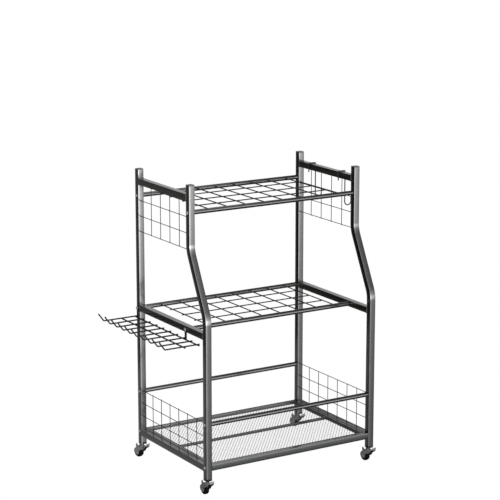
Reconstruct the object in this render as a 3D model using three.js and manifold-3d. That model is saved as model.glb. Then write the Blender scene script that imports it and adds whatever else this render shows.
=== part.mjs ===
// A freestanding garden tool rack on four braked casters. Two welded side frames of square tube carry
// two wire shelves that hold long handles upright, two guard bars, a mesh tray at the foot, a rack of
// hooks on the left side and two S-hooks on the right top rail. Lengths are in millimetres, +Z is up,
// +X is the right side of the rack and -Y is its front.

import * as THREE from 'three';
import { mergeVertices } from 'three/addons/utils/BufferGeometryUtils.js';
import Module from 'manifold-3d';

const wasm = await Module();
wasm.setup();

// Overall sizes of the frame. The width and the depths are measured to the centre lines of the tubes
const frameWidth = 650;
const baseDepth = 450;
const topDepth = 346;
const overallHeight = 1029;
const casterHeight = 51.5;

// Heights of the centre lines, counted up from the foot of the posts
const bottomRailRise = 43;
const trayFrontRise = 2.5;
const guardRise = 150.5;
const rearGuardDrop = 2;
const midRise = 448.5;
const bottomRailHeight = casterHeight + bottomRailRise;
const trayFrontHeight = bottomRailHeight + trayFrontRise;
const guardHeight = bottomRailHeight + guardRise;
const rearGuardHeight = guardHeight - rearGuardDrop;
const midHeight = bottomRailHeight + midRise;

// Heights of the centre lines, counted down from the top
const topRailDrop = 43;
const topShelfDrop = 49;
const upperBendDrop = 175;
const bendRun = 209;
const topRailHeight = overallHeight - topRailDrop;
const topShelfHeight = topRailHeight - topShelfDrop;
const upperBendHeight = topRailHeight - upperBendDrop;
const lowerBendHeight = upperBendHeight - bendRun;

// Square tube
const tubeSize = 22;
const tubeWall = 1.5;
const postBendRadius = 90;
const footPlate = 3;

// Clearances
const weldGap = 0.3;
const boltClearance = 0.35;
const stemClearance = 0.3;
const runningGap = 0.4;

// Round bars and wires
const barDiameter = 16;
const gridWire = 4;
const panelWire = 2.5;
const wireOverrun = 4;

// Wire shelves
const shelfDepthWires = 8;
const shelfCrossWires = 3;
const midShelfDepth = 332;
const gridRise = 4;

// Wire panels of the side frames
const upperPanelPitch = 63.5;
const upperPanelRow = 54;
const upperPanelUprights = 4;
const lowerPanelPitch = 60;
const lowerPanelRow = 46;
const lowerPanelUprights = 6;
const panelRows = 3;

// Bolts
const boltDiameter = 6;
const boltHead = 12;
const boltHeadHeight = 4;
const boltHeadRound = 1.6;
const boltGrip = 14;

// Post caps
const capLip = 0.8;
const capHeight = 3;
const capSpigot = 12;
const capSpigotGap = 0.4;

// Tray
const meshThickness = 1.5;
const meshStrand = 4;
const meshColumns = 13;
const meshRows = 6;
const trayTube = 13;
const trayBar = 9;

// Rack of hooks on the left side
const rackProngs = 10;
const rackPitch = 47.3;
const rackDrop = 28;
const rackReach = 126;
const rackInset = 7;
const rackMidReach = 52;
const rackWire = 5;
const rackTipOut = 20;
const rackTipUp = 27;
const rackTipRadius = 8;
const rackTabWidth = 12;
const rackTabThickness = 2.5;
const rackTabTop = 8;

// S-hooks on the right top rail
const hookWire = 4;
const hookBend = 3.5;
const hookSideGap = 1;
const hookShortLeg = 19;
const hookLongLeg = 96;
const hookMouth = 26;
const hookTip = 16;
const rearHookPlace = 80;
const frontHookPlace = 264;

// Casters
const wheelDiameter = 36;
const wheelWidth = 14;
const wheelSides = 20;
const wheelRound = 2.5;
const wheelRecess = 1.5;
const wheelHub = 7;
const axleDiameter = 6;
const casterTrail = 17.5;
const forkPlate = 2.2;
const forkSideGap = 1.2;
const forkFront = 11;
const forkRear = 0.5;
const forkCrown = 10.5;
const forkBoss = 8;
const forkCheek = 14.5;
const cheekRise = 9;
const hornReach = 6.5;
const hornRise = 9;
const raceDiameter = 22;
const raceHeight = 3.2;
const collarDiameter = 12;
const stemDiameter = 8;
const stemLength = 24;
const pinDiameter = 4;
const pinInset = 4;
const pinDrop = 5.5;
const pedalReach = 15.6;
const pedalWidth = 18;
const pedalRise = 17;
const pedalThickness = 3;
const pedalLip = 13;
const shoeDrop = 12;
const shoeBack = 5;
const shoeThickness = 4;
const rivetHead = 1;
const bossFlatShare = 0.5;

// The way that each caster's pedal points, in degrees from +X
const casterHeadings = { front_left: -87, rear_left: -70, front_right: -80, rear_right: -70 };

// Facets of the round parts
const wireSides = 6;
const boltSides = 10;
const barSides = 14;
const arcSteps = 4;

// How far crossing wires sink into each other at a weld, as the share of a wire's size between their centres
const weldShare = 0.8;

// Points closer than these distances count as one
const leastStep = 0.01;
const mergeDistance = 0.0001;

const finish = (color, roughness, metalness) => {
  const settings = { color, roughness, metalness };
  return new THREE.MeshStandardMaterial(settings);
};

const finishes = {
  frame: finish(0x5c5e61, 0.42, 0.55),
  wire: finish(0x34363a, 0.45, 0.5),
  zinc: finish(0xa9abad, 0.35, 0.85),
  bolt: finish(0xc9cbcd, 0.25, 0.95),
  rubber: finish(0x161718, 0.7, 0),
  plastic: finish(0x66686b, 0.5, 0),
};

const rack = new THREE.Group();

// Solids

const toSolid = (geometry) => {
  const bare = geometry.clone();
  bare.deleteAttribute('normal');
  bare.deleteAttribute('uv');
  const merged = mergeVertices(bare, mergeDistance);
  return new wasm.Manifold(new wasm.Mesh({
    numProp: 3,
    vertProperties: new Float32Array(merged.attributes.position.array),
    triVerts: new Uint32Array(merged.index.array),
  }));
};

const toGeometry = (solid) => {
  const mesh = solid.getMesh();
  const indexed = new THREE.BufferGeometry();
  indexed.setAttribute('position', new THREE.BufferAttribute(mesh.vertProperties, 3));
  indexed.setIndex(new THREE.BufferAttribute(mesh.triVerts, 1));
  const flat = indexed.toNonIndexed();
  flat.computeVertexNormals();
  return flat;
};

const joined = (solids) => solids.reduce((whole, next) => whole.add(next));
const cut = (solid, tools) => tools.reduce((whole, tool) => whole.subtract(tool), solid);

const addPart = (name, solid, material, group = rack) => {
  const mesh = new THREE.Mesh(toGeometry(solid), material);
  mesh.name = name;
  group.add(mesh);
};

// Basic forms, each centred on its own axis

const axisTurn = {
  x: (geometry) => geometry.rotateZ(-Math.PI / 2),
  y: (geometry) => geometry,
  z: (geometry) => geometry.rotateX(Math.PI / 2),
};

const rod = (axis, diameter, from, to, a, b, sides) => {
  const geometry = new THREE.CylinderGeometry(diameter / 2, diameter / 2, to - from, sides);
  geometry.rotateY(Math.PI / sides);
  axisTurn[axis](geometry);
  const middle = (from + to) / 2;
  const place = { x: [middle, a, b], y: [a, middle, b], z: [a, b, middle] }[axis];
  return toSolid(geometry.translate(...place));
};

const block = (x0, x1, y0, y1, z0, z1) => {
  const geometry = new THREE.BoxGeometry(x1 - x0, y1 - y0, z1 - z0);
  return toSolid(geometry.translate((x0 + x1) / 2, (y0 + y1) / 2, (z0 + z1) / 2));
};

const blockAlong = (axis, size, from, to, a, b) => {
  const low = [a - size / 2, b - size / 2];
  const high = [a + size / 2, b + size / 2];
  if (axis === 'x') return block(from, to, low[0], high[0], low[1], high[1]);
  if (axis === 'y') return block(low[0], high[0], from, to, low[1], high[1]);
  return block(low[0], high[0], low[1], high[1], from, to);
};

const squareTube = (axis, from, to, a, b) => cut(
  blockAlong(axis, tubeSize, from, to, a, b),
  [blockAlong(axis, tubeSize - 2 * tubeWall, from - tubeWall, to + tubeWall, a, b)],
);

const boltHole = (side, y, z) => {
  const centre = side * frameWidth / 2;
  return rod('x', boltDiameter + 2 * boltClearance, centre - tubeSize, centre + tubeSize, y, z, boltSides);
};

// A profile of [across, up] points in the XZ plane, extruded along Y about y = 0
const slab = (points, width) => {
  const shape = new THREE.Shape(points.map(([x, z]) => new THREE.Vector2(x, z)));
  const geometry = new THREE.ExtrudeGeometry(shape, { depth: width, bevelEnabled: false });
  return toSolid(geometry.rotateX(Math.PI / 2).translate(0, width / 2, 0));
};

// A polyline whose inner corners are rounded by arcs, one radius for each. Each station is a ring of the tube
class BentLine extends THREE.Curve {
  constructor(corners, radii) {
    super();
    this.stations = [];
    const last = corners.length - 1;
    const legs = corners.slice(1).map((point, i) => point.clone().sub(corners[i]).normalize());
    this.addStation(corners[0], legs[0]);
    for (let i = 1; i < last; i += 1) this.addArc(corners[i], legs[i - 1], legs[i], radii[i - 1]);
    this.addStation(corners[last], legs[last - 1]);
  }

  addStation(point, tangent) {
    const before = this.stations.at(-1);
    if (!before || before.point.distanceTo(point) > leastStep) this.stations.push({ point, tangent });
  }

  addArc(corner, before, after, radius) {
    const angle = before.angleTo(after);
    const inward = after.clone().sub(before).normalize();
    const centre = corner.clone().addScaledVector(inward, radius / Math.cos(angle / 2));
    const axis = before.clone().cross(after).normalize();
    const spoke = corner.clone().addScaledVector(before, -radius * Math.tan(angle / 2)).sub(centre);
    for (let k = 0; k <= arcSteps; k += 1) {
      const turn = angle * k / arcSteps;
      const point = centre.clone().add(spoke.clone().applyAxisAngle(axis, turn));
      this.addStation(point, before.clone().applyAxisAngle(axis, turn));
    }
  }

  station(u) {
    return this.stations[Math.round(u * (this.stations.length - 1))];
  }

  getPointAt(u) {
    return this.station(u).point.clone();
  }

  getTangentAt(u) {
    return this.station(u).tangent.clone();
  }
}

const along = (shape, corners, radii) => {
  const path = new BentLine(corners, radii);
  const steps = path.stations.length - 1;
  return toSolid(new THREE.ExtrudeGeometry(shape, { steps, extrudePath: path, bevelEnabled: false }));
};

const polygon = (diameter, sides) => {
  const corners = [];
  for (let i = 0; i < sides; i += 1) {
    const angle = (i + 0.5) * 2 * Math.PI / sides;
    corners.push(new THREE.Vector2(Math.cos(angle), Math.sin(angle)).multiplyScalar(diameter / 2));
  }
  return new THREE.Shape(corners);
};

const squareShape = (size) => polygon(size * Math.SQRT2, 4);
const bentWire = (diameter, corners, radii) => along(polygon(diameter, wireSides), corners, radii);

// The frame

const postFoot = casterHeight;
const postTop = overallHeight - capHeight;
const sides = [['left', -1], ['right', 1]];
const innerReach = frameWidth / 2 - tubeSize / 2 - weldGap;

const bendAngle = Math.atan2(baseDepth - topDepth, upperBendHeight - lowerBendHeight);

// Where the rear face of a front post lies at a height
const frontPostRear = (height) => {
  const reach = postBendRadius * Math.sin(bendAngle);
  const tangent = postBendRadius * Math.tan(bendAngle / 2);
  const top = upperBendHeight + tangent;
  const foot = lowerBendHeight - tangent;
  const inArc = (run) => ({
    sag: postBendRadius - Math.sqrt(postBendRadius ** 2 - run ** 2),
    lean: Math.asin(run / postBendRadius),
  });
  let centre = -topDepth;
  let lean = 0;
  if (height <= foot) centre = -baseDepth;
  else if (height < foot + reach) {
    const arc = inArc(height - foot);
    centre = -baseDepth + arc.sag;
    lean = arc.lean;
  } else if (height < top - reach) {
    centre = -baseDepth + (height - lowerBendHeight) * Math.tan(bendAngle);
    lean = bendAngle;
  } else if (height < top) {
    const arc = inArc(top - height);
    centre = -topDepth - arc.sag;
    lean = arc.lean;
  }
  return centre + tubeSize / 2 / Math.cos(lean);
};

// The thin members of the tray are flush with the tops of the bottom rails
const trayTubeHeight = bottomRailHeight + (tubeSize - trayTube) / 2;

const bolts = [
  { name: 'top_shelf_rear', y: 0, z: topShelfHeight },
  { name: 'top_shelf_front', y: -topDepth, z: topShelfHeight },
  { name: 'mid_shelf_rear', y: 0, z: midHeight, tab: true },
  { name: 'mid_shelf_front', y: -midShelfDepth, z: midHeight, tab: true },
  { name: 'guard_front', y: -baseDepth, z: guardHeight },
  { name: 'guard_rear', y: 0, z: rearGuardHeight },
  { name: 'tray_front', y: -baseDepth, z: trayFrontHeight },
  { name: 'tray_rear', y: 0, z: trayTubeHeight },
];

const onPost = (depth) => bolts.filter((bolt) => bolt.y === depth);

const postBore = (x, y) => {
  const diameter = stemDiameter + 2 * stemClearance;
  return rod('z', diameter, postFoot - footPlate, postFoot + 2 * footPlate, x, y, boltSides);
};

const rearPost = (side) => {
  const x = side * frameWidth / 2;
  const hollow = blockAlong('z', tubeSize - 2 * tubeWall, postFoot + footPlate, postTop + tubeWall, x, 0);
  const holes = onPost(0).map((bolt) => boltHole(side, bolt.y, bolt.z));
  return cut(blockAlong('z', tubeSize, postFoot, postTop, x, 0), [hollow, postBore(x, 0), ...holes]);
};

const frontPost = (side) => {
  const x = side * frameWidth / 2;
  const line = (from, to) => [
    new THREE.Vector3(x, -baseDepth, from),
    new THREE.Vector3(x, -baseDepth, lowerBendHeight),
    new THREE.Vector3(x, -topDepth, upperBendHeight),
    new THREE.Vector3(x, -topDepth, to),
  ];
  const radii = [postBendRadius, postBendRadius];
  const bore = squareShape(tubeSize - 2 * tubeWall);
  const outer = along(squareShape(tubeSize), line(postFoot, postTop), radii);
  const inner = along(bore, line(postFoot + footPlate, postTop + tubeWall), radii);
  const held = [...onPost(-baseDepth), ...onPost(-topDepth)];
  const holes = held.map((bolt) => boltHole(side, bolt.y, bolt.z));
  return cut(outer, [inner, postBore(x, -baseDepth), ...holes]);
};

const sideRail = (side, height) => {
  const x = side * frameWidth / 2;
  return squareTube('y', frontPostRear(height) + weldGap, -tubeSize / 2 - weldGap, x, height);
};

const midRail = (side) => cut(sideRail(side, midHeight), [boltHole(side, -midShelfDepth, midHeight)]);

// A welded panel: level wires between the posts, with uprights on their inner side
const wirePanel = (side, heights, uprights, pitch, foot, top) => {
  const x = side * frameWidth / 2;
  const rear = -tubeSize / 2 - weldGap;
  const front = (height) => frontPostRear(height) + weldGap;
  const rows = heights.map((height) => rod('y', panelWire, front(height), rear, x, height, wireSides));
  const middle = (frontPostRear(heights[0]) - tubeSize / 2) / 2;
  const stack = side * panelWire * weldShare;
  const bars = [];
  for (let i = 0; i < uprights; i += 1) {
    const y = middle + (i - (uprights - 1) / 2) * pitch;
    bars.push(rod('z', panelWire, foot, top, x - stack, y, wireSides));
  }
  return joined([...rows, ...bars]);
};

const rowHeights = (first, step) => Array.from({ length: panelRows }, (_, i) => first + i * step);

const upperPanel = (side) => {
  const heights = rowHeights(upperBendHeight, upperPanelRow);
  const foot = upperBendHeight - wireOverrun / 2;
  const top = topRailHeight - tubeSize / 2 - weldGap;
  return wirePanel(side, heights, upperPanelUprights, upperPanelPitch, foot, top);
};

const lowerPanel = (side) => {
  const heights = rowHeights(guardHeight - (panelRows - 1) * lowerPanelRow, lowerPanelRow);
  const foot = bottomRailHeight + tubeSize / 2 + weldGap;
  const top = guardHeight + wireOverrun / 2;
  return wirePanel(side, heights, lowerPanelUprights, lowerPanelPitch, foot, top);
};

const postCap = (x, y) => {
  const reach = (tubeSize + capLip) / 2;
  const spigot = tubeSize / 2 - tubeWall - capSpigotGap;
  const base = postTop + weldGap;
  return block(x - reach, x + reach, y - reach, y + reach, base, overallHeight)
    .add(block(x - spigot, x + spigot, y - spigot, y + spigot, postTop - capSpigot, base + weldGap));
};

for (const [name, side] of sides) {
  const x = side * frameWidth / 2;
  addPart(`rear_post_${name}`, rearPost(side), finishes.frame);
  addPart(`front_post_${name}`, frontPost(side), finishes.frame);
  addPart(`top_rail_${name}`, sideRail(side, topRailHeight), finishes.frame);
  addPart(`mid_rail_${name}`, midRail(side), finishes.frame);
  addPart(`bottom_rail_${name}`, sideRail(side, bottomRailHeight), finishes.frame);
  addPart(`upper_panel_${name}`, upperPanel(side), finishes.wire);
  addPart(`lower_panel_${name}`, lowerPanel(side), finishes.wire);
  addPart(`rear_cap_${name}`, postCap(x, 0), finishes.plastic);
  addPart(`front_cap_${name}`, postCap(x, -topDepth), finishes.plastic);
}

// Cross bars, bored from end to end for the bolts

const crossBar = (y, z) => {
  const bore = boltDiameter + 2 * boltClearance;
  return rod('x', barDiameter, -innerReach, innerReach, y, z, barSides)
    .subtract(rod('x', bore, -innerReach - weldGap, innerReach + weldGap, y, z, boltSides));
};

// Depth wires welded between the two bars of a shelf, near their tops, with the cross wires under them
const shelfGrid = (height, depth) => {
  const pitch = frameWidth / (shelfDepthWires + 1);
  const upper = height + gridRise;
  const lower = upper - gridWire * weldShare;
  const edge = Math.sqrt((barDiameter / 2) ** 2 - (gridRise - gridWire / 2) ** 2) + weldGap;
  const wires = [];
  for (let i = 1; i <= shelfDepthWires; i += 1) {
    wires.push(rod('y', gridWire, edge - depth, -edge, i * pitch - frameWidth / 2, upper, wireSides));
  }
  const reach = frameWidth / 2 - pitch + wireOverrun;
  for (let i = 1; i <= shelfCrossWires; i += 1) {
    wires.push(rod('x', gridWire, -reach, reach, -depth * i / (shelfCrossWires + 1), lower, wireSides));
  }
  return joined(wires);
};

for (const [name, height, depth] of [['top', topShelfHeight, topDepth], ['mid', midHeight, midShelfDepth]]) {
  addPart(`${name}_shelf_rear_bar`, crossBar(0, height), finishes.frame);
  addPart(`${name}_shelf_front_bar`, crossBar(-depth, height), finishes.frame);
  addPart(`${name}_shelf_grid`, shelfGrid(height, depth), finishes.wire);
}
addPart('rear_guard_bar', crossBar(0, rearGuardHeight), finishes.frame);
addPart('front_guard_bar', crossBar(-baseDepth, guardHeight), finishes.frame);

// The tray: a front member as thick as the posts with a U of thinner tube behind it, a bar across its
// middle and a sheet of open mesh under the thin tubes

const trayMembers = (frontSize, thinSize, reach) => {
  const middle = innerReach - trayTube / 2;
  const front = blockAlong('x', frontSize, -reach, reach, -baseDepth, trayFrontHeight);
  const rear = blockAlong('x', thinSize, -reach, reach, 0, trayTubeHeight);
  const across = (x) => blockAlong('y', thinSize, -baseDepth, 0, x, trayTubeHeight);
  return joined([front, rear, across(-middle), across(middle)]);
};

const trayFrame = () => {
  const bore = boltDiameter + 2 * boltClearance;
  const past = frameWidth / 2;
  const ends = [[0, trayTubeHeight], [-baseDepth, trayFrontHeight]];
  const holes = ends.map(([y, z]) => rod('x', bore, -past, past, y, z, boltSides));
  const hollow = trayMembers(tubeSize - 2 * tubeWall, trayTube - 2 * tubeWall, innerReach - tubeWall);
  return cut(trayMembers(tubeSize, trayTube, innerReach), [hollow, ...holes]);
};

const meshTop = trayTubeHeight - trayTube / 2 - weldGap;

const trayMesh = () => {
  const halfWidth = innerReach - trayTube / 2;
  const front = -baseDepth + tubeSize / 2 + weldGap;
  const rear = 0;
  const sheet = new THREE.Shape([
    new THREE.Vector2(-halfWidth, front),
    new THREE.Vector2(halfWidth, front),
    new THREE.Vector2(halfWidth, rear),
    new THREE.Vector2(-halfWidth, rear),
  ]);
  const pitchX = (2 * halfWidth - meshStrand) / meshColumns;
  const pitchY = (rear - front - meshStrand) / meshRows;
  const slope = Math.hypot(pitchX, pitchY) / 2;
  const gapX = pitchX / 2 - meshStrand * slope / pitchY;
  const gapY = pitchY / 2 - meshStrand * slope / pitchX;
  const diamond = (x, y) => new THREE.Path([
    new THREE.Vector2(x - gapX, y),
    new THREE.Vector2(x, y + gapY),
    new THREE.Vector2(x + gapX, y),
    new THREE.Vector2(x, y - gapY),
  ]);
  const middleY = (front + rear) / 2;
  for (const shift of [0, 1]) {
    for (let i = 0; i < meshColumns - shift; i += 1) {
      for (let j = 0; j < meshRows - shift; j += 1) {
        const x = (i - (meshColumns - 1 - shift) / 2) * pitchX;
        sheet.holes.push(diamond(x, middleY + (j - (meshRows - 1 - shift) / 2) * pitchY));
      }
    }
  }
  const geometry = new THREE.ExtrudeGeometry(sheet, { depth: meshThickness, bevelEnabled: false });
  return toSolid(geometry.translate(0, 0, meshTop - meshThickness));
};

addPart('tray_frame', trayFrame(), finishes.frame);
addPart('tray_mesh', trayMesh(), finishes.wire);

const trayBarEnd = innerReach - trayTube - weldGap;
const trayBarHeight = trayTubeHeight + (trayTube - trayBar) / 2;
addPart('tray_centre_bar', blockAlong('x', trayBar, -trayBarEnd, trayBarEnd, -baseDepth / 2, trayBarHeight),
  finishes.frame);

// Bolts: a low round head outside the tube and a shank through it into the end of the bar

const bolt = (side, { y, z, tab }) => {
  const packing = tab && side < 0 ? rackTabThickness + weldGap : 0;
  const face = frameWidth / 2 + tubeSize / 2 + weldGap + packing;
  const tip = innerReach - boltGrip;
  const head = boltHead / 2;
  const shank = boltDiameter / 2;
  const profile = [
    [0, tip],
    [shank, tip],
    [shank, face],
    [head, face],
    [head, face + boltHeadHeight - boltHeadRound],
    [head - boltHeadRound, face + boltHeadHeight],
    [0, face + boltHeadHeight],
  ].map(([radius, reach]) => new THREE.Vector2(radius, reach));
  const geometry = new THREE.LatheGeometry(profile, boltSides);
  geometry.rotateZ(-side * Math.PI / 2);
  return toSolid(geometry.translate(0, y, z));
};

for (const [name, side] of sides) {
  for (const place of bolts) addPart(`bolt_${place.name}_${name}`, bolt(side, place), finishes.bolt);
}

// The rack of hooks: prongs welded on two cross wires, hung from two tabs behind the mid shelf bolts

const hookRack = () => {
  const face = -frameWidth / 2 - tubeSize / 2 - weldGap;
  const tabFace = face - rackTabThickness;
  const innerWire = -frameWidth / 2 - tubeSize / 2 - rackInset;
  const height = midHeight - rackDrop;
  const tip = innerWire - rackReach;
  const parts = [];
  for (let i = 0; i < rackProngs; i += 1) {
    const y = -i * rackPitch;
    parts.push(bentWire(rackWire, [
      new THREE.Vector3(innerWire + wireOverrun, y, height),
      new THREE.Vector3(tip, y, height),
      new THREE.Vector3(tip - rackTipOut, y, height + rackTipUp),
    ], [rackTipRadius]));
  }
  const lower = height - rackWire * weldShare;
  const front = -(rackProngs - 1) * rackPitch - wireOverrun;
  for (const x of [innerWire, innerWire - rackMidReach]) {
    parts.push(rod('y', rackWire, front, wireOverrun, x, lower, wireSides));
  }
  for (const y of [0, -midShelfDepth]) {
    const half = rackTabWidth / 2;
    const foot = lower - rackWire / 2;
    const plate = block(tabFace, face, y - half, y + half, foot, midHeight + rackTabTop);
    const lip = block(innerWire, face, y - half, y + half, foot, foot + rackTabThickness);
    const hole = boltHole(-1, y, midHeight);
    parts.push(plate.add(lip).subtract(hole));
  }
  return joined(parts);
};

addPart('hook_rack', hookRack(), finishes.wire);

// S-hooks: a short leg inside the rail, a run over its top, a long leg outside and an open mouth

const sHook = (place) => {
  const inner = frameWidth / 2 - tubeSize / 2 - hookSideGap - hookWire / 2;
  const outer = frameWidth / 2 + tubeSize / 2 + hookSideGap + hookWire / 2;
  const top = topRailHeight + tubeSize / 2 + weldGap + hookWire / 2;
  const foot = topRailHeight - hookLongLeg;
  const corners = [
    new THREE.Vector3(inner, -place, topRailHeight - hookShortLeg),
    new THREE.Vector3(inner, -place, top),
    new THREE.Vector3(outer, -place, top),
    new THREE.Vector3(outer, -place, foot - hookMouth / 2),
    new THREE.Vector3(outer + hookMouth, -place, foot - hookMouth / 2),
    new THREE.Vector3(outer + hookMouth, -place, foot + hookTip),
  ];
  return bentWire(hookWire, corners, [hookBend, hookBend, hookMouth / 2, hookMouth / 2]);
};

addPart('s_hook_rear', sHook(rearHookPlace), finishes.wire);
addPart('s_hook_front', sHook(frontHookPlace), finishes.wire);

// Casters: a fork that swivels on its stem in the foot of the post, a wheel on its axle and a brake pedal

const wheelRadius = wheelDiameter / 2;
const axleHeight = wheelRadius * Math.cos(Math.PI / wheelSides);
const crownTop = casterHeight - forkCrown;
const forkInner = wheelWidth / 2 + forkSideGap;
const forkOuter = forkInner + forkPlate;
const pinReach = forkOuter + rivetHead;
const forkBack = -casterTrail - forkRear;
const pin = { x: forkFront - pinInset, z: crownTop - pinDrop };

const forkLeg = (side) => slab([
  [forkBack, crownTop],
  [forkFront, crownTop],
  [forkFront, pin.z - pinDrop],
  [-casterTrail + forkBoss, axleHeight],
  [-casterTrail + forkBoss * bossFlatShare, axleHeight - forkBoss],
  [-casterTrail - forkBoss * bossFlatShare, axleHeight - forkBoss],
  [-casterTrail - forkCheek, axleHeight],
  [-casterTrail - forkCheek, axleHeight + cheekRise],
], forkPlate).translate(0, side * (forkInner + forkPlate / 2), 0);

const fork = () => {
  const crown = block(forkBack, forkFront, -forkOuter, forkOuter, crownTop - forkPlate, crownTop);
  const horn = slab([
    [forkBack + forkPlate, crownTop - forkPlate],
    [forkBack + forkPlate, crownTop],
    [forkBack - hornReach, crownTop + hornRise],
    [forkBack - hornReach, crownTop + hornRise - forkPlate],
  ], 2 * forkOuter);
  const raceTop = crownTop + raceHeight;
  const overlap = forkPlate / 2;
  const race = rod('z', raceDiameter, crownTop - overlap, raceTop, 0, 0, barSides);
  const collar = rod('z', collarDiameter, raceTop - overlap, casterHeight - weldGap, 0, 0, boltSides);
  const stem = rod('z', stemDiameter, raceTop - overlap, casterHeight + stemLength, 0, 0, boltSides);
  const axle = rod('y', axleDiameter, -pinReach, pinReach, -casterTrail, axleHeight, boltSides);
  const hole = rod('y', pinDiameter + 2 * runningGap, -pinReach, pinReach, pin.x, pin.z, boltSides);
  return joined([crown, horn, forkLeg(-1), forkLeg(1), race, collar, stem]).subtract(hole).add(axle);
};

const wheel = () => {
  const half = wheelWidth / 2;
  const bore = axleDiameter / 2 + runningGap;
  const rim = wheelRadius - wheelRound;
  const outline = [
    [bore, half],
    [wheelHub, half],
    [(wheelHub + rim) / 2, half - wheelRecess],
    [rim, half],
    [wheelRadius, half - wheelRound],
  ];
  const below = outline.map(([radius, y]) => [radius, -y]);
  const closed = [...below, ...outline.reverse(), below[0]];
  const profile = closed.map(([radius, y]) => new THREE.Vector2(radius, y));
  const geometry = new THREE.LatheGeometry(profile, wheelSides);
  geometry.rotateY(Math.PI / wheelSides);
  return toSolid(geometry.translate(-casterTrail, 0, axleHeight));
};

const brake = () => {
  const root = forkFront + runningGap;
  const top = pin.z + pinDiameter / 2 + runningGap;
  const tip = [root + pedalReach, top + pedalRise];
  const lever = slab([
    [pin.x - pinDiameter, top],
    [root, top],
    tip,
    [tip[0], tip[1] - pedalLip],
    [root, pin.z - pinDiameter / 2],
    [pin.x - shoeBack + shoeThickness, pin.z - shoeDrop],
    [pin.x - shoeBack, pin.z - shoeDrop + runningGap],
  ], 2 * (forkInner - runningGap));
  const pedal = slab([
    [root, top],
    tip,
    [tip[0], tip[1] - pedalLip],
    [root, top - pedalThickness],
  ], pedalWidth);
  const pivot = rod('y', pinDiameter, -pinReach, pinReach, pin.x, pin.z, boltSides);
  return joined([lever, pedal, pivot]);
};

for (const [name, side] of sides) {
  for (const [end, y] of [['front', -baseDepth], ['rear', 0]]) {
    const caster = new THREE.Group();
    caster.position.set(side * frameWidth / 2, y, 0);
    caster.rotation.z = THREE.MathUtils.degToRad(casterHeadings[`${end}_${name}`]);
    addPart(`fork_${end}_${name}`, fork(), finishes.zinc, caster);
    addPart(`wheel_${end}_${name}`, wheel(), finishes.rubber, caster);
    addPart(`brake_${end}_${name}`, brake(), finishes.zinc, caster);
    rack.add(caster);
  }
}

const wholeBox = new THREE.Box3().setFromObject(rack, true);
const centre = wholeBox.getCenter(new THREE.Vector3());
rack.position.set(-centre.x, -centre.y, 0);

export default rack;
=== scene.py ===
"""Looks of the garden tool rack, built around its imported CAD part.

Every piece replaces the CAD node that it is named after and takes its place from that node's box.
Forms are made in millimetres and become metres when a form turns into an object.
"""

import math

import bmesh
import bpy
from mathutils import Matrix, Vector

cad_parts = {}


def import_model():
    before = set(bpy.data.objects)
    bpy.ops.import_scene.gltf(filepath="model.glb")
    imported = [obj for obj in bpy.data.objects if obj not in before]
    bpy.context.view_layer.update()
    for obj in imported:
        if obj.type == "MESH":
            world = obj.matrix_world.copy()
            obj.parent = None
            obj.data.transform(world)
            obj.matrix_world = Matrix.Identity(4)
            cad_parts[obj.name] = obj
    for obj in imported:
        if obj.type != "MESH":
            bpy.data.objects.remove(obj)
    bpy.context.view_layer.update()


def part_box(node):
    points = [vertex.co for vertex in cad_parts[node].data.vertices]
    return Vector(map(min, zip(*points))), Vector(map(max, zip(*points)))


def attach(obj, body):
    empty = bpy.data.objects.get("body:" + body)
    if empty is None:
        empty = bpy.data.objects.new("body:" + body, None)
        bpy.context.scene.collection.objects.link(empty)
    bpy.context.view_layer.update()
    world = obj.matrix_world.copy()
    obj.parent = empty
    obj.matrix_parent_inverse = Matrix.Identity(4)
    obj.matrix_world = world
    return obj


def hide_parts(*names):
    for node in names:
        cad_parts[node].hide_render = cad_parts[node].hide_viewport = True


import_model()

MM = 0.001
SIDES = ("left", "right")
CORNERS = [(end, side) for side in SIDES for end in ("front", "rear")]
SHARP_ANGLE = 38
BEVEL_ANGLE = 32

# Tubes
POST_SIZE = 22
TUBE_CORNER = 0.8
TUBE_CROWN_SHARE = 0.0135
TUBE_BEVEL = 0.8
TUBE_BEND_STEPS = 18
POST_BEND_RADIUS = 90
UPPER_BEND_HEIGHT = 811
LOWER_BEND_HEIGHT = 602
BAR = 16
BAR_SIDES = 36

# Weld beads round the ends of tubes. The insets bring a bead's path inside the tube's outline
WELD_GAP = 0.3
BEAD_SIZE = 1.5
BEAD_STEP = 1.4
BEAD_RIPPLE = 0.14
BEAD_RIPPLE_STEP = 2.1
BEAD_SIDES = 6
RAIL_BEAD_INSET = 0.6
TRAY_BEAD_INSET = 0.8

# Caps: the plug as (height above its foot, width), the lip as (depth below its top, narrowing)
CAP_PLUG = ((0, 16.4), (1.5, 17.8))
CAP_NECK = (2.75, 18)
CAP_LIP = ((2.7, 0.7), (2.35, 0), (1.1, 0), (0.5, 0.5), (0.15, 1.5), (0, 3.4))
CAP_CORNER = 2.8

# Wire panels: rows are heights, and uprights are a count and a pitch
PANEL_WIRE = 2.5
PANEL_STACK = 2
PANEL_OVERRUN_FRONT = 1.6
PANEL_OVERRUN_REAR = 1.2
PANEL_END_WELD = (2.3, 1.5, 2.3)
PANEL_CROSS_WELD = (1.5, 1.9, 1.9)
UPRIGHT_OVERRUN = 0.8
UPRIGHT_WELD = (2.3, 2.3, 1.3)
UPRIGHT_WELD_INSET = 0.6
UPPER_ROWS = (811, 865, 919)
UPPER_UPRIGHTS = (4, 63.5)
LOWER_ROWS = (153, 199, 245)
LOWER_UPRIGHTS = (6, 60)

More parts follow.
